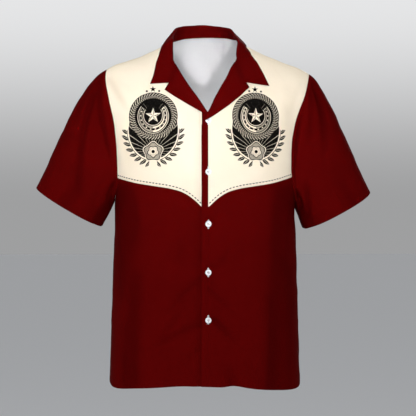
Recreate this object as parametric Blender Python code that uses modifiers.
"""A short-sleeve western camp shirt, filled out as when it is worn, with nobody in it.

Metres, +Z up. The wearer faces -Y, so the wearer's left is +X. The origin is between the shoulders,
level with the points where the shoulder seams meet the neck: it is where a wearer carries the shirt.
Each cut piece of cloth is a thin wall of its own, parted from the next by a narrow seam. The walls
follow one worn form: a rounded box of a body, a ridge over the shoulders, and two sleeve tubes.
"""

import functools
import math

import bmesh
import bpy
import numpy as np
from mathutils import Vector

# ---------------------------------------------------------------------------- driving sizes
CLOTH = 0.0012  # thickness of every wall of cloth
SEAM = 0.0003  # gap between two pieces that are sewn together
RIGHT, LEFT = -1, 1  # the wearer's sides, as the sign of x
FRONT, BACK = -1, 1  # the faces of the body, as the sign of y

FRONT_RISE = 0.22  # height over which the front rounds up into the shoulder ridge
BACK_RISE = 0.16  # the same on the back
SHOULDER_SEAM_DROP = 0.003  # the shoulder seam lies this far below the ridge, on the front
SIDE_SEAM_INSET = 0.0002  # half of the gap along a side seam
EVEN_AT_Z = -0.60  # the level at which the columns of cells are spread evenly round the body
GIRTH_SAMPLES = 60  # points that measure the way round that level
ARMHOLE_FLARE = 0.12  # least share of the half width that the armhole cuts in, for each metre up
ARMHOLE_ROWS = 1.25  # rows of cells along the armhole's foot, against those up the side seam
EDGE_EASE = 1.5  # above 1, rows lie closer where an edge leaves a corner
HEM_SWEEP = 4  # how late the back hem turns down or up towards the side seams
BISECTIONS = 24  # halvings when a place on the form is looked for

OVERLAP_EDGE = -0.0127  # outward x of the overlapping front edge, past the centre front
BAND_SEAM = 0.0003  # outward x of the seam between the overlapping band and its front
UNDER_EDGE = -0.0140  # outward x of the free edge of the front that lies beneath
UNDER_BAND_SEAM = 0.0125  # outward x of the seam between that front and its own band
UNDER_DEPTH = 0.0021  # how far the front beneath is set in behind the other
UNDER_START = 0.0300  # outward x where it starts to be set in
UNDER_FULL = 0.0145  # outward x where it is wholly set in

YOKE_POINT_X = -0.006  # the two front yoke edges run down to one point here
BACK_YOKE_RAISE = 0.060  # the back yoke edge has the same line, this much higher
YOKE_GAP = SEAM + 0.2 * CLOTH  # height of the seam below a yoke, where the walls lean
SHOULDER_SEAM_TURN = 0.006  # gap of the shoulder seam, as a turn about the ridge
BACK_YOKE_SEAM_SHARE = 0.30  # share of the back yoke's top edge that each shoulder seam takes

FOLD_RADIUS = 0.0022  # radius of the roll where collar and lapels turn over
LEAF_HEIGHT = 0.0030  # height of the turned-out cloth over the front, at its free edge
LEAF_RELAX = 0.025  # distance over which it comes down to that height
ROLL_SLANT = 0.8  # share of a level distance that lies square to the roll line
FOLD_CLEAR = SEAM + 0.3 * CLOTH  # gap between the front's edge and the roll along it
GORGE_GAP = 0.0022  # clear strip along the gorge, where the lapel is sewn to the collar

BUTTON_RADIUS = 0.0062
BUTTON_HEIGHT = 0.0022
BUTTON_RIM = 0.0010  # width of the raised rim
BUTTON_DISH = 0.0005  # depth of the dish inside the rim
BUTTON_FOOT = 0.86  # radius of its flat back, as a share of the whole
BUTTON_STEPS = 16
BUTTON_HEIGHTS = (-0.1765, -0.2800, -0.3847, -0.4826, -0.5786)
BUTTON_X = 0.0005

ARMHOLE_LEAD = 0.0011  # a sleeve starts this far out of the armhole's edge at the shoulder
ARMPIT_LEAD = 0.0019  # and this far at the armpit, where it folds back beside the body
CUFF_SQUARENESS = 2.3


class Table:
    """Rows of numbers in named columns, read between its rows along a smooth curve."""

    def __init__(self, columns, *rows):
        """Keep the rows, whose first column rises."""
        self.columns = columns.split()
        self.values = np.array(rows, float)
        self.slopes = np.gradient(self.values, self.values[:, 0], axis=0)

    def read(self, name, at):
        """Return the named column where the first column has the value at."""
        keys = self.values[:, 0]
        values = self.values[:, self.columns.index(name)]
        slopes = self.slopes[:, self.columns.index(name)]
        at = min(max(float(at), keys[0]), keys[-1])
        row = min(max(int(np.searchsorted(keys, at, side="right")) - 1, 0), len(keys) - 2)
        span = keys[row + 1] - keys[row]
        t = (at - keys[row]) / span
        return (
            (2 * t**3 - 3 * t**2 + 1) * values[row]
            + (t**3 - 2 * t**2 + t) * span * slopes[row]
            + (3 * t**2 - 2 * t**3) * values[row + 1]
            + (t**3 - t**2) * span * slopes[row + 1]
        )


# ---------------------------------------------------------------------------- the worn form
# Level sections of the body. Above the armpits the half width runs on into the sleeves, so that
# the armhole seam lies on the rounded corner of the section.
BODY = Table(
    "z half_width front_depth back_depth squareness",
    (-0.740, 0.2000, 0.127, 0.117, 2.5),
    (-0.650, 0.1965, 0.127, 0.116, 2.5),
    (-0.540, 0.1935, 0.128, 0.114, 2.5),
    (-0.450, 0.1905, 0.130, 0.114, 2.5),
    (-0.390, 0.1885, 0.132, 0.116, 2.5),
    (-0.342, 0.1880, 0.134, 0.119, 2.4),
    (-0.300, 0.1945, 0.135, 0.121, 2.2),
    (-0.270, 0.1995, 0.135, 0.123, 2.0),
    (-0.242, 0.2041, 0.135, 0.125, 2.0),
    (-0.210, 0.2104, 0.134, 0.126, 2.0),
    (-0.180, 0.2200, 0.132, 0.126, 2.0),
    (-0.155, 0.2325, 0.129, 0.125, 2.0),
    (-0.130, 0.2490, 0.124, 0.123, 2.0),
    (-0.105, 0.2640, 0.118, 0.120, 2.0),
    (-0.080, 0.2760, 0.113, 0.117, 2.0),
    (-0.060, 0.2830, 0.110, 0.117, 2.0),
    (0.010, 0.2900, 0.104, 0.121, 2.0),
    (0.060, 0.2900, 0.100, 0.125, 2.0),
)

# The ridge over the shoulders. Inside the neck it rises to the height that the collar's seam needs.
RIDGE = Table(
    "x z",
    (0.000, 0.0340),
    (0.025, 0.0305),
    (0.045, 0.0215),
    (0.060, 0.0080),
    (0.071, -0.0040),
    (0.084, -0.0125),
    (0.124, -0.0318),
    (0.161, -0.0465),
    (0.188, -0.0560),
    (0.204, -0.0638),
    (0.218, -0.0720),
    (0.235, -0.0820),
)

# The armhole edge on each side, down from the shoulder ridge to the armpit.
ARMHOLE = {
    RIGHT: Table(
        "z x",
        (-0.3400, 0.1880),
        (-0.3150, 0.1838),
        (-0.2895, 0.1816),
        (-0.2600, 0.1820),
        (-0.2300, 0.1838),
        (-0.2000, 0.1862),
        (-0.1750, 0.1890),
        (-0.1500, 0.1946),
        (-0.1200, 0.2010),
        (-0.0950, 0.2055),
        (-0.0750, 0.2060),
        (-0.0640, 0.2042),
    ),
    LEFT: Table(
        "z x",
        (-0.3490, 0.1880),
        (-0.3200, 0.1810),
        (-0.2890, 0.1762),
        (-0.2600, 0.1738),
        (-0.2300, 0.1742),
        (-0.2000, 0.1778),
        (-0.1750, 0.1838),
        (-0.1500, 0.1922),
        (-0.1200, 0.2042),
        (-0.0950, 0.2118),
        (-0.0800, 0.2158),
        (-0.0720, 0.2180),
    ),
}

# The edge of each front, up the roll line from the top button to the shoulder seam.
NECK = {
    RIGHT: Table(
        "z x",
        (-0.1850, -0.0140),
        (-0.1700, -0.0033),
        (-0.1520, 0.0082),
        (-0.1350, 0.0196),
        (-0.1020, 0.0428),
        (-0.0670, 0.0606),
        (-0.0480, 0.0700),
        (-0.0265, 0.0744),
        (-0.0060, 0.0750),
    ),
    LEFT: Table(
        "z x",
        (-0.1855, -0.0127),
        (-0.1740, -0.0062),
        (-0.1520, 0.0064),
        (-0.1350, 0.0152),
        (-0.1020, 0.0336),
        (-0.0670, 0.0516),
        (-0.0480, 0.0622),
        (-0.0265, 0.0682),
        (-0.0060, 0.0700),
    ),
}
BACK_NECK_DEPTH = 0.062  # y of the neck seam at the centre back
BACK_NECK_ROUNDNESS = 0.8  # below 1 rounds the sides of the back neck out

# The lower edge of the yokes, by distance from the point where both meet.
YOKE_EDGE = Table(
    "from_point z",
    (0.000, -0.3535),
    (0.007, -0.3495),
    (0.020, -0.3375),
    (0.030, -0.3295),
    (0.045, -0.3208),
    (0.070, -0.3133),
    (0.100, -0.3083),
    (0.140, -0.3012),
    (0.190, -0.2860),
)

# The hem's height on the front, by girth place: -1 at the wearer's right side seam, 1 at the left.
HEM = Table(
    "girth z",
    (-1.000, -0.7120),
    (-0.775, -0.7205),
    (-0.442, -0.7175),
    (-0.257, -0.7140),
    (-0.113, -0.7110),
    (-0.010, -0.7120),
    (0.060, -0.7132),
    (0.113, -0.7112),
    (0.223, -0.7165),
    (0.314, -0.7200),
    (0.500, -0.7240),
    (0.775, -0.7225),
    (1.000, -0.7130),
)
BACK_HEM = -0.7205  # the hem's height at the centre back

# The largest soft troughs of the body: a line from one place to another on a face, how wide the
# trough is to either side, and how deep. A negative depth is a ridge.
BODY_FOLDS = Table(
    "number face x0 z0 x1 z1 width depth",
    (0, FRONT, -0.192, -0.098, -0.158, -0.160, 0.013, 0.0035),
    (1, FRONT, 0.168, -0.120, 0.160, -0.240, 0.018, 0.0030),
    (2, FRONT, -0.162, -0.325, -0.147, -0.420, 0.016, 0.0045),
    (3, FRONT, 0.152, -0.330, 0.147, -0.470, 0.018, 0.0040),
    (4, FRONT, -0.032, -0.600, -0.130, -0.645, 0.012, 0.0032),
    (5, FRONT, 0.034, -0.600, 0.068, -0.632, 0.011, 0.0035),
    (6, FRONT, -0.150, -0.520, -0.160, -0.700, 0.020, 0.0055),
    (7, FRONT, 0.145, -0.560, 0.142, -0.710, 0.020, 0.0055),
    (8, FRONT, 0.044, -0.668, 0.050, -0.715, 0.016, 0.0030),
    (9, FRONT, -0.036, -0.522, -0.082, -0.568, 0.011, 0.0026),
    (10, FRONT, 0.034, -0.546, 0.058, -0.566, 0.010, 0.0026),
    (11, BACK, -0.120, -0.330, -0.105, -0.690, 0.030, 0.0070),
    (12, BACK, 0.115, -0.350, 0.110, -0.700, 0.030, 0.0070),
    (13, BACK, 0.000, -0.420, 0.010, -0.700, 0.034, 0.0050),
    (14, BACK, -0.150, -0.180, -0.140, -0.290, 0.018, 0.0040),
    (15, BACK, 0.150, -0.180, 0.140, -0.290, 0.018, 0.0040),
)


def trough(point, start, end, width):
    """Return how far into a soft trough a point lies: 1 along its line, and 0 away from it."""
    run = end - start
    along = float(np.dot(point - start, run) / np.dot(run, run))
    nearest = start + run * min(max(along, 0.0), 1.0)
    return math.exp(-float(np.sum((point - nearest) ** 2)) / width**2)


def body_fold(x, z, face):
    """Return how deep the troughs are at a place of the body."""
    place = np.array((x, z))
    depth = 0.0
    for _, fold_face, x0, z0, x1, z1, width, deep in BODY_FOLDS.values:
        if fold_face == face:
            depth += deep * trough(place, np.array((x0, z0)), np.array((x1, z1)), width)
    return depth


def rise(face):
    """Return the height over which a face rounds up into the ridge."""
    return FRONT_RISE if face == FRONT else BACK_RISE


def body_depth(x, z, face):
    """Return y of the worn form at x and z, on the front or on the back."""
    half_width = BODY.read("half_width", z)
    squareness = BODY.read("squareness", z)
    depth = BODY.read("front_depth" if face == FRONT else "back_depth", z)
    corner = max(1.0 - (abs(x) / half_width) ** squareness, 0.0) ** (1.0 / squareness)
    below = min(max((RIDGE.read("z", abs(x)) - z) / rise(face), 0.0), 1.0)
    top = math.sqrt(1.0 - (1.0 - below) ** 2)
    return face * (depth * top - body_fold(x, z, face) * top * corner) * corner


def roll_at_depth(x, y):
    """Return the signed way round from the ridge at which the form at x reaches y."""
    face = FRONT if y < 0 else BACK
    low, high = 0.0, math.pi / 2
    for _ in range(BISECTIONS):
        middle = (low + high) / 2
        if abs(over_ridge(x, face * middle)[1]) < abs(y):
            low = middle
        else:
            high = middle
    return face * low


def roll_of(x, z, face):
    """Return the signed way round the form from the ridge to a height: 0 on the ridge, minus on the front."""
    below = (RIDGE.read("z", abs(x)) - z) / rise(face)
    if below < 1.0:
        return face * math.acos(1.0 - max(below, 0.0))
    return face * (math.pi / 2 + below - 1.0)


def over_ridge(x, roll):
    """Return the point of the form at x and at a signed way round from the ridge."""
    face = FRONT if roll < 0 else BACK
    turn = abs(roll)
    below = 1.0 - math.cos(turn) if turn < math.pi / 2 else 1.0 + turn - math.pi / 2
    z = RIDGE.read("z", abs(x)) - below * rise(face)
    return np.array((x, body_depth(x, z, face), z))


def on_front(x, z):
    """Return the point of the front at x and z."""
    return np.array((x, body_depth(x, z, FRONT), z))


def outward(x, roll):
    """Return the form's outward normal at x and at a way round from the ridge."""
    step = 0.002
    across = over_ridge(x + step, roll) - over_ridge(x - step, roll)
    along = over_ridge(x, roll + step / BACK_RISE) - over_ridge(x, roll - step / BACK_RISE)
    normal = np.cross(across, along)
    return normal / np.linalg.norm(normal)


def lifted(x, z, face, height):
    """Return the point at a height over the form."""
    roll = roll_of(x, z, face)
    return over_ridge(x, roll) + outward(x, roll) * height


def armhole_point(side, turn):
    """Return the armhole's edge at a turn: 0 at the ridge, 0.25 in front, 0.5 at the armpit."""
    face = FRONT if turn < 0.5 else BACK
    down = 2 * turn if turn < 0.5 else 2 - 2 * turn
    top = ARMHOLE[side].values[-1, 0]
    bottom = ARMHOLE[side].values[0, 0]
    z = top + (bottom - top) * (1 - math.cos(math.pi * down)) / 2
    return edge_at_armhole(side, z, face)


def edge_at_armhole(side, z, face):
    """Return the armhole's edge at a height on one face."""
    bottom = ARMHOLE[side].values[0, 0]
    half_width = BODY.read("half_width", z)
    x = min(ARMHOLE[side].read("x", z), half_width * (1 - ARMHOLE_FLARE * (z - bottom)))
    if z - bottom < 1e-6:
        return np.array((side * half_width, 0.0, z))
    return np.array((side * x, body_depth(side * x, z, face), z))


def yoke_z(x):
    """Return the height of the front yokes' lower edge at x."""
    return YOKE_EDGE.read("z", abs(x - YOKE_POINT_X))


def back_yoke_z(x):
    """Return the height of the back yoke's lower edge at x."""
    return YOKE_EDGE.read("z", abs(x)) + BACK_YOKE_RAISE


def neck_z(side, x):
    """Return the height at which the front's roll edge passes an outward x."""
    rows = NECK[side].values
    return float(np.interp(x, rows[:, 1], rows[:, 0]))


def under_inset(x):
    """Return how far the wearer's right front is set in at x, where the other one lies over it."""
    t = min(max((UNDER_START + x) / (UNDER_START - UNDER_FULL), 0.0), 1.0)
    return UNDER_DEPTH * t * t * (3 - 2 * t)


# ---------------------------------------------------------------------------- making a wall
def patch(bottom, top, inner, outer):
    """Return the place function of a four-sided patch between four edge functions."""

    def place(u, v):
        sides = (1 - v) * bottom(u) + v * top(u) + (1 - u) * inner(v) + u * outer(v)
        corners = (
            (1 - u) * (1 - v) * bottom(0)
            + u * (1 - v) * bottom(1)
            + (1 - u) * v * top(0)
            + u * v * top(1)
        )
        return sides - corners

    return place


def material(name, colour, roughness):
    """Return a Principled material of one colour."""
    made = bpy.data.materials.new(name)
    made.use_nodes = True
    shader = made.node_tree.nodes["Principled BSDF"]
    shader.inputs["Base Color"].default_value = (*colour, 1.0)
    shader.inputs["Roughness"].default_value = roughness
    return made


def add_object(name, mesh, finish, collection):
    """Return a new object of the mesh, smooth and with its material."""
    mesh.materials.append(finish)
    mesh.shade_smooth()
    made = bpy.data.objects.new(name, mesh)
    collection.objects.link(made)
    return made


def wall(name, finish, collection, across, along, place, closed=False):
    """Return a wall of cloth: a grid of cells moved to place(u, v), then given its thickness."""
    cells = bmesh.new()
    bmesh.ops.create_grid(cells, x_segments=across, y_segments=along, size=0.5)
    for vert in cells.verts:
        vert.co = Vector(place(vert.co.x + 0.5, vert.co.y + 0.5))
    if closed:
        bmesh.ops.remove_doubles(cells, verts=cells.verts, dist=1e-5)
    bmesh.ops.recalc_face_normals(cells, faces=cells.faces)
    mesh = bpy.data.meshes.new(name)
    cells.to_mesh(mesh)
    cells.free()
    made = add_object(name, mesh, finish, collection)
    thick = made.modifiers.new("Cloth", "SOLIDIFY")
    thick.thickness = CLOTH
    thick.offset = 0.0
    thick.use_quality_normals = True
    return made


# ---------------------------------------------------------------------------- fronts, bands, backs
def side_path(side, face, hem_z, corner_z):
    """Return the outer edge of a lower panel: up the side seam, then round the armhole's foot.

    The edge is a function of v that gives the girth place (0 at the centre, 1 at the side) and z.
    """
    armpit_z = ARMHOLE[side].values[0, 0]
    seam_length = armpit_z - hem_z
    seam_share = seam_length / (seam_length + ARMHOLE_ROWS * (corner_z - armpit_z))

    def edge(v):
        if v <= seam_share:
            return np.array((1.0, hem_z + seam_length * v / seam_share))
        t = (v - seam_share) / (1 - seam_share)
        z = armpit_z + (corner_z - armpit_z) * t**EDGE_EASE
        return np.array((girth_place(side * edge_at_armhole(side, z, face)[0], z), z))

    return edge


def girth_place(x, z):
    """Return how far round a level section an outward x lies: 0 at the centre, 1 at the side."""
    half_width = BODY.read("half_width", z)
    squareness = BODY.read("squareness", z)
    share = math.copysign(min(abs(x) / half_width, 1.0) ** (squareness / 2), x)
    return math.asin(share) * 2 / math.pi


@functools.cache
def girth_ways():
    """Return girth places and how far along the cloth each one lies, as a share of the whole."""
    places = np.linspace(0.0, 1.0, GIRTH_SAMPLES)
    points = np.array([girth_point(LEFT, place, EVEN_AT_Z, FRONT) for place in places])
    ways = np.concatenate(([0.0], np.cumsum(np.linalg.norm(np.diff(points, axis=0), axis=1))))
    return places, ways / ways[-1]


def even_girth(share):
    """Return the girth place that lies a share of the way round, measured along the cloth."""
    places, ways = girth_ways()
    return float(np.interp(share, ways, places))


def girth_point(side, girth, z, face):
    """Return the point of a level section that is so far round it."""
    half_width = BODY.read("half_width", z)
    squareness = BODY.read("squareness", z)
    angle = min(abs(girth), 1.0) * math.pi / 2
    x = side * math.copysign(half_width * math.sin(angle) ** (2 / squareness), girth)
    y = body_depth(x, z, face)
    return np.array((x, face * max(abs(y), SIDE_SEAM_INSET), z))


def lower_front(side):
    """Return the place function of a front below the yoke, from its band seam to the side seam."""
    inner_x = BAND_SEAM + SEAM if side == LEFT else UNDER_BAND_SEAM + SEAM
    corner_z = corner_height(side, yoke_z)
    corner_x = abs(edge_at_armhole(side, corner_z, FRONT)[0])

    def bottom(u):
        start = girth_place(inner_x, BACK_HEM)
        girth = start + (1 - start) * even_girth(u)
        return np.array((girth, HEM.read("z", side * girth)))

    def top(u):
        x = inner_x + (corner_x - inner_x) * u
        z = yoke_z(side * x) - YOKE_GAP
        return np.array((girth_place(x, z), z))

    def inner(v):
        z = bottom(0)[1] + (top(0)[1] - bottom(0)[1]) * v
        return np.array((girth_place(inner_x, z), z))

    outer = side_path(side, FRONT, bottom(1)[1], top(1)[1])
    flat = patch(bottom, top, inner, outer)

    def place(u, v):
        girth, z = flat(u, v)
        point = girth_point(side, girth, z, FRONT)
        if side == RIGHT:
            point[1] += under_inset(point[0])
        return point

    return place


def corner_height(side, edge_z):
    """Return the height at which a yoke's lower edge, given by edge_z(x), meets the armhole."""
    z = edge_z(side * BODY.read("half_width", ARMHOLE[side].values[0, 0]))
    for _ in range(BISECTIONS):
        z = edge_z(side * ARMHOLE[side].read("x", z))
    return z


def shoulder_seam_roll():
    """Return the way round from the ridge to the shoulder seam."""
    return -math.acos(1 - SHOULDER_SEAM_DROP / FRONT_RISE)


def neck_at_shoulder(side):
    """Return the outward x where the shoulder seam meets the neck."""
    return NECK[side].values[-1, 1]


def tip_at_armhole(side):
    """Return the outward x where the shoulder seam meets the armhole."""
    return ARMHOLE[side].values[-1, 1]


def front_yoke(side):
    """Return the place function of a front yoke, from its band and roll line to the armhole."""
    inner_x = BAND_SEAM + SEAM if side == LEFT else UNDER_BAND_SEAM + SEAM
    corner_z = corner_height(side, yoke_z)
    corner_x = abs(edge_at_armhole(side, corner_z, FRONT)[0])
    seam_roll = shoulder_seam_roll() - SHOULDER_SEAM_TURN
    neck_x = neck_at_shoulder(side)
    tip_x = tip_at_armhole(side)

    def bottom(u):
        x = inner_x + (corner_x - inner_x) * u
        return np.array((x, roll_of(x, yoke_z(side * x), FRONT)))

    def top(u):
        return np.array((neck_x + (tip_x - neck_x) * u, seam_roll))

    def inner(v):
        low = yoke_z(side * inner_x)
        high = over_ridge(neck_x, seam_roll)[2]
        z = low + (high - low) * (1 - (1 - v) ** EDGE_EASE)
        x = max(inner_x, NECK[side].read("x", z))
        return np.array((x, roll_of(x, z, FRONT)))

    def outer(v):
        high = over_ridge(tip_x, seam_roll)[2]
        z = corner_z + (high - corner_z) * (1 - (1 - v) ** EDGE_EASE)
        x = abs(edge_at_armhole(side, z, FRONT)[0])
        return np.array((x, roll_of(x, z, FRONT)))

    flat = patch(bottom, top, inner, outer)

    def place(u, v):
        x, roll = flat(u, v)
        point = over_ridge(side * x, min(roll, seam_roll))
        if side == RIGHT:
            point[1] += under_inset(point[0])
        return point

    return place


def front_band(side):
    """Return the place function of the strip along a front's edge, cut off along the roll line."""
    free_x = OVERLAP_EDGE if side == LEFT else UNDER_EDGE
    sewn_x = BAND_SEAM if side == LEFT else UNDER_BAND_SEAM

    def place(u, v):
        x = free_x + (sewn_x - free_x) * u
        low = HEM.read("z", side * girth_place(x, BACK_HEM))
        z = low + (neck_z(side, x) - low) * v
        point = on_front(side * x, z)
        if side == RIGHT:
            point[1] += under_inset(point[0])
        return point

    return place


def lower_back():
    """Return the place function of the back below its yoke, from side seam to side seam."""

    def half(side):
        corner_z = corner_height(side, back_yoke_z)
        corner_x = abs(edge_at_armhole(side, corner_z, BACK)[0])

        def bottom(u):
            girth = even_girth(u)
            return np.array((girth, BACK_HEM + (HEM.read("z", side) - BACK_HEM) * girth**HEM_SWEEP))

        def top(u):
            z = back_yoke_z(corner_x * u) - YOKE_GAP
            return np.array((girth_place(corner_x * u, z), z))

        def inner(v):
            return np.array((0.0, BACK_HEM + (top(0)[1] - BACK_HEM) * v))

        return patch(bottom, top, inner, side_path(side, BACK, bottom(1)[1], top(1)[1]))

    halves = {side: half(side) for side in (RIGHT, LEFT)}

    def place(u, v):
        side = RIGHT if u < 0.5 else LEFT
        girth, z = halves[side](abs(2 * u - 1), v)
        return girth_point(side, girth, z, BACK)

    return place


def back_neck_point(side, turn):
    """Return x and roll on the neck seam: turn 0 at the shoulder seam, 1 at the centre back."""
    angle = turn * math.pi / 2
    centre = (neck_at_shoulder(LEFT) - neck_at_shoulder(RIGHT)) / 2
    reach = neck_at_shoulder(side) - side * centre
    x = side * reach * math.cos(angle) ** BACK_NECK_ROUNDNESS + centre
    start_y = over_ridge(side * neck_at_shoulder(side), shoulder_seam_roll())[1]
    y = start_y + (BACK_NECK_DEPTH - start_y) * math.sin(angle)
    return np.array((x, roll_at_depth(x, y)))


def back_yoke():
    """Return the place function of the back yoke, over the ridge to the shoulder seams."""
    def half(side):
        corner_z = corner_height(side, back_yoke_z)
        corner_x = abs(edge_at_armhole(side, corner_z, BACK)[0])
        tip_x = tip_at_armhole(side)

        def bottom(u):
            x = side * corner_x * u
            return np.array((x, roll_of(x, back_yoke_z(x), BACK)))

        def top(u):
            neck_share = 1 - 2 * BACK_YOKE_SEAM_SHARE
            if u <= neck_share:
                return back_neck_point(side, 1 - u / neck_share)
            t = (u - neck_share) / (1 - neck_share)
            x = neck_at_shoulder(side) + (tip_x - neck_at_shoulder(side)) * t
            return np.array((side * x, shoulder_seam_roll()))

        def inner(v):
            low, high = bottom(0), top(0)
            return low + (high - low) * v

        def outer(v):
            low, high = bottom(1)[1], top(1)[1]
            roll = low + (high - low) * v
            x = tip_x
            for _ in range(BISECTIONS):
                x = abs(edge_at_armhole(side, over_ridge(side * x, roll)[2], BACK)[0])
            return np.array((side * x, roll))

        return patch(bottom, top, inner, outer)

    halves = {side: half(side) for side in (RIGHT, LEFT)}

    def place(u, v):
        side = RIGHT if u < 0.5 else LEFT
        x, roll = halves[side](abs(2 * u - 1), v)
        return over_ridge(x, roll)

    return place


# ---------------------------------------------------------------------------- sleeves
# Each cuff's outer and inner corner in the front view.
CUFF = {
    RIGHT: {"outer": (-0.3500, -0.3090), "inner": (-0.2145, -0.3890)},
    LEFT: {"outer": (0.3465, -0.3180), "inner": (0.2075, -0.3940)},
}
CUFF_FRONT_DEPTH = 0.064
CUFF_BACK_DEPTH = 0.058
CUFF_FRONT_DROP = 0.008  # the cuff's front hangs this far past its corners
CUFF_BACK_DROP = -0.002

# How a sleeve leaves the armhole, round its turn: out from the body, forward (-y) and down, and the
# length of that lead on each side, as a share of the sleeve's length there.
SLEEVE_HEAD = Table(
    "turn out forward down lead_right lead_left",
    (0.00, 1.00, 0.00, 0.42, 0.70, 0.42),
    (0.12, 0.95, 0.20, 0.45, 0.62, 0.44),
    (0.25, 0.88, 0.12, 0.52, 0.50, 0.46),
    (0.38, 0.70, 0.00, 0.75, 0.50, 0.50),
    (0.50, 0.45, 0.00, 0.90, 0.60, 0.60),
    (0.62, 0.70, 0.00, 0.75, 0.50, 0.50),
    (0.75, 0.88, -0.20, 0.52, 0.50, 0.46),
    (0.88, 0.95, -0.28, 0.45, 0.62, 0.44),
    (1.00, 1.00, 0.00, 0.42, 0.70, 0.42),
)
CUFF_LEAD = 0.60

# Soft troughs down a sleeve: where they start and end round its turn and along its length.
SLEEVE_FOLDS = Table(
    "number side turn0 along0 turn1 along1 width depth",
    (0, RIGHT, 0.14, 0.16, 0.155, 0.62, 0.030, 0.0050),
    (1, RIGHT, 0.17, 0.05, 0.31, 0.14, 0.020, 0.0040),
    (2, RIGHT, 0.40, 0.25, 0.36, 0.95, 0.028, 0.0060),
    (3, RIGHT, 0.75, 0.20, 0.72, 0.80, 0.040, 0.0060),
    (4, LEFT, 0.15, 0.14, 0.165, 0.66, 0.030, 0.0050),
    (5, LEFT, 0.18, 0.05, 0.30, 0.14, 0.020, 0.0040),
    (6, LEFT, 0.40, 0.25, 0.36, 0.95, 0.028, 0.0060),
    (7, LEFT, 0.76, 0.20, 0.73, 0.80, 0.040, 0.0060),
)
SLEEVE_GIRTH = 0.48  # girth and length that turn those places into distances
SLEEVE_LENGTH = 0.26
FOLD_FADE = 0.08  # the troughs fade out over this share of the length, towards the armhole


def unit(vector):
    """Return the vector at length 1."""
    return vector / np.linalg.norm(vector)


def cuff_axis(side):
    """Return the direction in which a sleeve runs at its cuff."""
    outer, inner = (np.array(CUFF[side][name]) for name in ("outer", "inner"))
    across = unit(outer - inner)
    return np.array((side * across[1], 0.0, -abs(across[0])))


def cuff_point(side, turn):
    """Return a point of a cuff's edge at a turn: 0 at the outer corner, 0.25 in front."""
    outer, inner = (np.array(CUFF[side][name]) for name in ("outer", "inner"))
    middle = (outer + inner) / 2
    half = (outer - inner) / 2
    angle = turn * 2 * math.pi
    power = 2 / CUFF_SQUARENESS
    across = math.copysign(abs(math.cos(angle)) ** power, math.cos(angle))
    ahead = math.copysign(abs(math.sin(angle)) ** power, math.sin(angle))
    depth = CUFF_FRONT_DEPTH if ahead > 0 else CUFF_BACK_DEPTH
    drop = CUFF_FRONT_DROP if ahead > 0 else CUFF_BACK_DROP
    flat = np.array((middle[0] + half[0] * across, -depth * ahead, middle[1] + half[1] * across))
    return flat + cuff_axis(side) * drop * abs(ahead)


def smooth_sleeve(side, turn, along):
    """Return a sleeve's point before its troughs: along 0 at the armhole, 1 at the cuff."""
    turn = turn % 1.0
    head = np.array(
        (
            side * SLEEVE_HEAD.read("out", turn),
            -SLEEVE_HEAD.read("forward", turn),
            -SLEEVE_HEAD.read("down", turn),
        )
    )
    high = (1 + math.cos(2 * math.pi * turn)) / 2
    apart = ARMPIT_LEAD + (ARMHOLE_LEAD - ARMPIT_LEAD) * high
    start = armhole_point(side, turn) + unit(head * (1, 1, high)) * apart
    end = cuff_point(side, turn)
    length = float(np.linalg.norm(end - start))
    lead = unit(head) * length * SLEEVE_HEAD.read("lead_left" if side == LEFT else "lead_right", turn)
    tail = cuff_axis(side) * length * CUFF_LEAD
    t = along
    return (
        (2 * t**3 - 3 * t**2 + 1) * start
        + (t**3 - 2 * t**2 + t) * lead
        + (3 * t**2 - 2 * t**3) * end
        + (t**3 - t**2) * tail
    )


def sleeve(side):
    """Return the place function of a sleeve, round its turn and along its length."""

    def place(u, v):
        turn = u % 1.0
        point = smooth_sleeve(side, turn, v)
        step = 0.01
        round_it = smooth_sleeve(side, turn + step, v) - smooth_sleeve(side, turn - step, v)
        low, high = max(v - step, 0.0), min(v + step, 1.0)
        down_it = smooth_sleeve(side, turn, high) - smooth_sleeve(side, turn, low)
        outside = unit(np.cross(round_it, down_it)) * side
        scale = np.array((SLEEVE_GIRTH, SLEEVE_LENGTH))
        here = np.array((turn, v)) * scale
        depth = 0.0
        for _, fold_side, turn0, along0, turn1, along1, width, deep in SLEEVE_FOLDS.values:
            if fold_side == side:
                start, end = np.array((turn0, along0)) * scale, np.array((turn1, along1)) * scale
                depth += deep * trough(here, start, end, width)
        return point - outside * depth * min(v / FOLD_FADE, 1.0)

    return place


# ---------------------------------------------------------------------------- lapels and collar
# In the front view, as outward x and z: the notch, the lapel's tip, its lower edge, and where the
# gorge meets the roll line. The lapel starts at start_z on the roll line.
LAPEL = {
    RIGHT: {
        "start_z": -0.1570,
        "low_start": (0.0065, -0.1640),
        "low_middle": (0.0500, -0.1378),
        "tip": (0.0829, -0.1150),
        "notch": (0.0741, -0.0982),
        "gorge_z": -0.0600,
    },
    LEFT: {
        "start_z": -0.1770,
        "low_start": (-0.0045, -0.1765),
        "low_middle": (0.0390, -0.1475),
        "tip": (0.0824, -0.1102),
        "notch": (0.0764, -0.0966),
        "gorge_z": -0.0560,
    },
}
NOTCH_SHARE = 0.72  # share of the lapel's end edge that the gorge takes

# The collar's free edge on the front, from its point up to the shoulder, as outward x and z.
COLLAR_EDGE = {
    RIGHT: ((0.1137, -0.1004), (0.1077, -0.0829), (0.1013, -0.0566), (0.0955, -0.0400)),
    LEFT: ((0.1271, -0.1022), (0.1175, -0.0813), (0.1042, -0.0553), (0.0920, -0.0395)),
}

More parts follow.
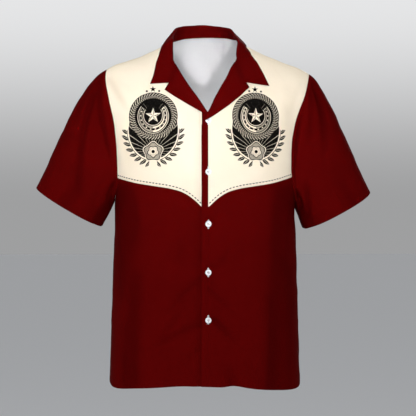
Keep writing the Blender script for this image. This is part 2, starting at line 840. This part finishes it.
# The collar's sections over the shoulder and round the back: the place round the neck seam, the
# crest, and the free edge as outward x, roll and height over the form.
COLLAR_BACK = Table(
    "seam crest_x crest_y crest_z out_x out_y edge_x edge_roll",
    (0.10, 0.0645, -0.004, 0.0110, 1.00, 0.00, 0.0860, -0.160),
    (0.30, 0.0615, 0.015, 0.0205, 0.95, 0.30, 0.0820, 0.120),
    (0.52, 0.0530, 0.036, 0.0290, 0.80, 0.60, 0.0700, 0.420),
    (0.76, 0.0310, 0.055, 0.0355, 0.40, 0.92, 0.0400, 0.680),
    (1.00, 0.0000, 0.063, 0.0385, 0.00, 1.00, 0.0000, 0.760),
)

# The collar between the gorge and the shoulder, where its stand grows out of the fold: height on
# the neck seam, height of the stand, and the free edge as outward x and z on each side.
COLLAR_RISE = Table(
    "z stand right_x right_z left_x left_z",
    (-0.0390, 0.0062, 0.0945, -0.0345, 0.0905, -0.0345),
    (-0.0290, 0.0115, 0.0925, -0.0285, 0.0870, -0.0275),
    (-0.0190, 0.0185, 0.0905, -0.0235, 0.0835, -0.0215),
)
COLLAR_EDGE_HEIGHT = 0.0034
COLLAR_CLEAR = 0.0026  # least height of the fall over the shoulder and the back yoke
FALL_SHARE = 0.62  # the fall takes the rows past this share
FALL_FRONT_Y = -0.050  # further forward the turned-out cloth already lies at its own height
FALL_BULGE = 0.0022  # how far the fall swells out between its crest and its edge
RISING_BULGE = 0.0015  # the same on the front, where the stand is still low
CREST_RADIUS = 0.0026
WRAP_RISE = 0.010  # height over which the collar goes from on top of the cloth to under the fold
SECTION_POINTS = 7
FOLD_POINTS = 4  # of those, the steps that go round the fold where the collar starts under it
LAPEL_FOLD_SHARE = 0.36  # share of a lapel's rows that go round the fold


def turned_height(side, x, z):
    """Return the height of the turned-out cloth over the form at an outward x and z."""
    from_roll = max(x - NECK[side].read("x", z), 0.0) * ROLL_SLANT
    return LEAF_HEIGHT + (2 * FOLD_RADIUS - LEAF_HEIGHT) * math.exp(-from_roll / LEAF_RELAX)


def turned_point(side, x, z):
    """Return a point of the turned-out cloth at an outward x and z."""
    return lifted(side * x, z, FRONT, turned_height(side, x, z))


def fold_point(side, z, angle):
    """Return a point of the roll along the front's edge: angle 0 at the edge, pi on top of it."""
    x = side * NECK[side].read("x", z)
    step = 0.002
    roll = roll_of(x, z, FRONT)
    here = over_ridge(x, roll)
    above = on_front(side * NECK[side].read("x", z + step), z + step)
    normal = outward(x, roll)
    run = unit(above - here)
    opening = np.cross(normal, run) * side
    out = FOLD_CLEAR + FOLD_RADIUS * math.sin(angle)
    top = FOLD_RADIUS * (1 - math.cos(angle))
    inset = under_inset(x) if side == RIGHT else 0.0
    return here + opening * out + normal * (top - inset * (1 - top / (2 * FOLD_RADIUS)))


def bezier(start, middle, end, t):
    """Return the point of a curve that leaves start towards middle and ends in end."""
    return (1 - t) ** 2 * start + 2 * t * (1 - t) * middle + t**2 * end


def lapel(side):
    """Return the place function of a lapel: u up the roll line, v from the fold to the free edge."""
    shape = {name: np.array(value, float) for name, value in LAPEL[side].items()}
    low_via = 2 * shape["low_middle"] - (shape["low_start"] + shape["tip"]) / 2

    def leaf(u, t):
        z = shape["start_z"] + (shape["gorge_z"] - GORGE_GAP - shape["start_z"]) * u
        root = np.array((NECK[side].read("x", z), z))
        low = bezier(shape["low_start"], low_via, shape["tip"], u)
        gorge_top = np.array((NECK[side].read("x", shape["gorge_z"]), shape["gorge_z"]))
        notch = shape["notch"] - np.array((0.0, GORGE_GAP))
        pull = notch - (gorge_top + (shape["tip"] - gorge_top) * NOTCH_SHARE)
        knee = root + (low - root) * NOTCH_SHARE + pull * u**4
        if t <= NOTCH_SHARE:
            flat = root + (knee - root) * t / NOTCH_SHARE
        else:
            flat = knee + (low - knee) * (t - NOTCH_SHARE) / (1 - NOTCH_SHARE)
        return turned_point(side, flat[0], flat[1])

    def place(u, v):
        if v <= LAPEL_FOLD_SHARE:
            z = shape["start_z"] + (shape["gorge_z"] - GORGE_GAP - shape["start_z"]) * u
            return fold_point(side, z, math.pi * v / LAPEL_FOLD_SHARE)
        return leaf(u, (v - LAPEL_FOLD_SHARE) / (1 - LAPEL_FOLD_SHARE))

    return place


def through(points, t):
    """Return the point at share t of a smooth curve through evenly counted points."""
    last = len(points) - 1
    index = min(int(t * last), last - 1)
    t = t * last - index
    before = points[max(index - 1, 0)]
    start, end = points[index], points[index + 1]
    after = points[min(index + 2, last)]
    return 0.5 * (
        2 * start
        + (end - before) * t
        + (2 * before - 5 * start + 4 * end - after) * t**2
        + (3 * start - before - 3 * end + after) * t**3
    )


def leaf_section(side, root, edge, wrap):
    """Return a collar section on the front, from the gorge or the roll line to the free edge.

    wrap is 0 where the section starts on top of the cloth and 1 where it starts under the fold.
    """
    fold_length = math.pi * FOLD_RADIUS
    leaf_length = float(np.linalg.norm(edge - root))
    last = SECTION_POINTS - 1
    section = []
    for number in range(SECTION_POINTS):
        flat_way = fold_length + leaf_length * number / last
        fold_way = fold_length * min(number / FOLD_POINTS, 1.0)
        fold_way += leaf_length * max(number - FOLD_POINTS, 0) / (last - FOLD_POINTS)
        way = flat_way + (fold_way - flat_way) * wrap
        if way < fold_length:
            section.append(fold_point(side, root[1], math.pi * way / fold_length))
        else:
            share = (way - fold_length) / leaf_length
            flat = root + (edge - root) * share
            section.append(turned_point(side, flat[0], flat[1]))
    return section


def stand_section(side, row):
    """Return a collar section with a stand: up from the neck seam, over the crest and down."""
    seam, crest_x, crest_y, crest_z, out_x, out_y, edge_x, edge_roll = row
    centre = (neck_at_shoulder(LEFT) - neck_at_shoulder(RIGHT)) / 2
    seam_x, seam_roll = back_neck_point(side, seam)
    normal = outward(seam_x, seam_roll)
    away = np.array((side * out_x, out_y, 0.0))
    on_seam = over_ridge(seam_x, seam_roll)
    foot = on_seam + normal * (CLOTH / 2 + SEAM) - unit(away) * (CLOTH + 3 * SEAM)
    crest = np.array((side * crest_x + centre, crest_y, crest_z))
    inner = crest - away * CREST_RADIUS - np.array((0, 0, CREST_RADIUS))
    outer = crest + away * CREST_RADIUS - np.array((0, 0, CREST_RADIUS))
    edge_at = side * edge_x + centre
    edge = over_ridge(edge_at, edge_roll) + outward(edge_at, edge_roll) * COLLAR_EDGE_HEIGHT
    fall = (outer + edge) / 2 + away * FALL_BULGE
    return [foot, (foot + inner) / 2, inner, crest, outer, fall, edge]


def rising_section(side, row):
    """Return a collar section between the gorge and the shoulder, with a low stand."""
    edge_x, edge_z = row[2:4] if side == RIGHT else row[4:6]
    seam_z, stand = row[0], row[1]
    edge_foot = fold_point(side, seam_z, 0.0)
    above = fold_point(side, seam_z + 0.002, 0.0)
    roll = roll_of(edge_foot[0], edge_foot[2], FRONT)
    normal = outward(edge_foot[0], roll)
    run = unit(above - edge_foot)
    opening = unit(np.cross(normal, run)) * side
    foot = edge_foot + opening * CLOTH / 2 + normal * SEAM
    up = unit(opening + normal)
    away = unit(normal - opening)
    crest = foot + up * stand
    inner = crest - (up + away) * CREST_RADIUS
    outer = crest + (away - up) * CREST_RADIUS
    edge = lifted(side * edge_x, edge_z, FRONT, COLLAR_EDGE_HEIGHT)
    fall = (outer + edge) / 2 + normal * RISING_BULGE
    return [foot, (foot + inner) / 2, inner, crest, outer, fall, edge]


def kept_clear(point):
    """Return a point of the collar's fall, moved out where it would come too near the form."""
    roll = roll_at_depth(point[0], point[1])
    normal = outward(point[0], roll)
    height = float(np.dot(point - over_ridge(point[0], roll), normal))
    return point + normal * max(COLLAR_CLEAR - height, 0.0)


def collar():
    """Return the place function of the collar: u from one point to the other, v to its free edge."""
    sections = []
    for side in (RIGHT, LEFT):
        shape = LAPEL[side]
        edges = [np.array(point) for point in COLLAR_EDGE[side]]
        notch = np.array(shape["notch"])
        gorge_top = np.array((NECK[side].read("x", shape["gorge_z"]), shape["gorge_z"]))
        wrapped = []
        for share in (1 / 3, 2 / 3, 1.0):
            z = shape["gorge_z"] + WRAP_RISE * share
            root = np.array((NECK[side].read("x", z), z))
            edge = edges[2] + (edges[3] - edges[2]) * share
            wrapped.append(leaf_section(side, root, edge, share))
        half = [
            leaf_section(side, notch, edges[0], 0.0),
            leaf_section(side, (notch + gorge_top) / 2, edges[1], 0.0),
            leaf_section(side, gorge_top, edges[2], 0.0),
            *wrapped,
            *(rising_section(side, row) for row in COLLAR_RISE.values),
            *(stand_section(side, row) for row in COLLAR_BACK.values[:-1]),
        ]
        if side == RIGHT:
            sections = [*half, stand_section(RIGHT, COLLAR_BACK.values[-1])]
        else:
            sections.extend(reversed(half))

    def place(u, v):
        point = through([through(section, v) for section in sections], u)
        return kept_clear(point) if v > FALL_SHARE and point[1] > FALL_FRONT_Y else point

    return place


# ---------------------------------------------------------------------------- buttons
def button(name, finish, collection, z):
    """Add a turned button with a raised rim, just clear of the band."""
    profile = (
        (0.0, BUTTON_HEIGHT - BUTTON_DISH),
        (BUTTON_RADIUS - 2 * BUTTON_RIM, BUTTON_HEIGHT - BUTTON_DISH),
        (BUTTON_RADIUS - BUTTON_RIM, BUTTON_HEIGHT),
        (BUTTON_RADIUS - 0.3 * BUTTON_RIM, BUTTON_HEIGHT * 0.9),
        (BUTTON_RADIUS, BUTTON_HEIGHT * 0.55),
        (BUTTON_RADIUS * BUTTON_FOOT, 0.0),
        (0.0, 0.0),
    )
    line = bmesh.new()
    verts = [line.verts.new((radius, 0.0, height)) for radius, height in profile]
    for start, end in zip(verts, verts[1:]):
        line.edges.new((start, end))
    mesh = bpy.data.meshes.new(name)
    line.to_mesh(mesh)
    line.free()
    made = add_object(name, mesh, finish, collection)
    turn = made.modifiers.new("Turned", "SCREW")
    turn.steps = turn.render_steps = BUTTON_STEPS
    turn.use_merge_vertices = True
    turn.merge_threshold = 1e-5
    roll = roll_of(BUTTON_X, z, FRONT)
    normal = outward(BUTTON_X, roll)
    made.location = Vector(over_ridge(BUTTON_X, roll) + normal * (CLOTH / 2 + SEAM))
    made.rotation_mode = "QUATERNION"
    made.rotation_quaternion = Vector(normal).to_track_quat("Z", "Y")
    return made


# ---------------------------------------------------------------------------- the whole shirt
def main():
    """Clear the scene and add every piece of the shirt."""
    for old in list(bpy.data.objects):
        bpy.data.objects.remove(old, do_unlink=True)
    shirt = bpy.data.collections.new("western_shirt")
    bpy.context.scene.collection.children.link(shirt)
    red = material("dark_red_cloth", (0.090, 0.002, 0.003), 0.85)
    cream = material("cream_cloth", (0.92, 0.85, 0.71), 0.85)
    white = material("white_button", (0.85, 0.85, 0.84), 0.30)

    for side, name in ((RIGHT, "right"), (LEFT, "left")):
        wall(f"front_{name}", red, shirt, 12, 15, lower_front(side))
        wall(f"front_yoke_{name}", cream, shirt, 12, 12, front_yoke(side))
        wall(f"front_band_{name}", red, shirt, 1, 22, front_band(side))
        wall(f"sleeve_{name}", red, shirt, 28, 10, sleeve(side), closed=True)
        wall(f"lapel_{name}", red, shirt, 8, 12, lapel(side))
    wall("back", red, shirt, 24, 14, lower_back())
    wall("back_yoke", cream, shirt, 26, 10, back_yoke())
    wall("collar", red, shirt, 44, 11, collar())
    for number, z in enumerate(BUTTON_HEIGHTS, start=1):
        button(f"button_{number}", white, shirt, z)


main()
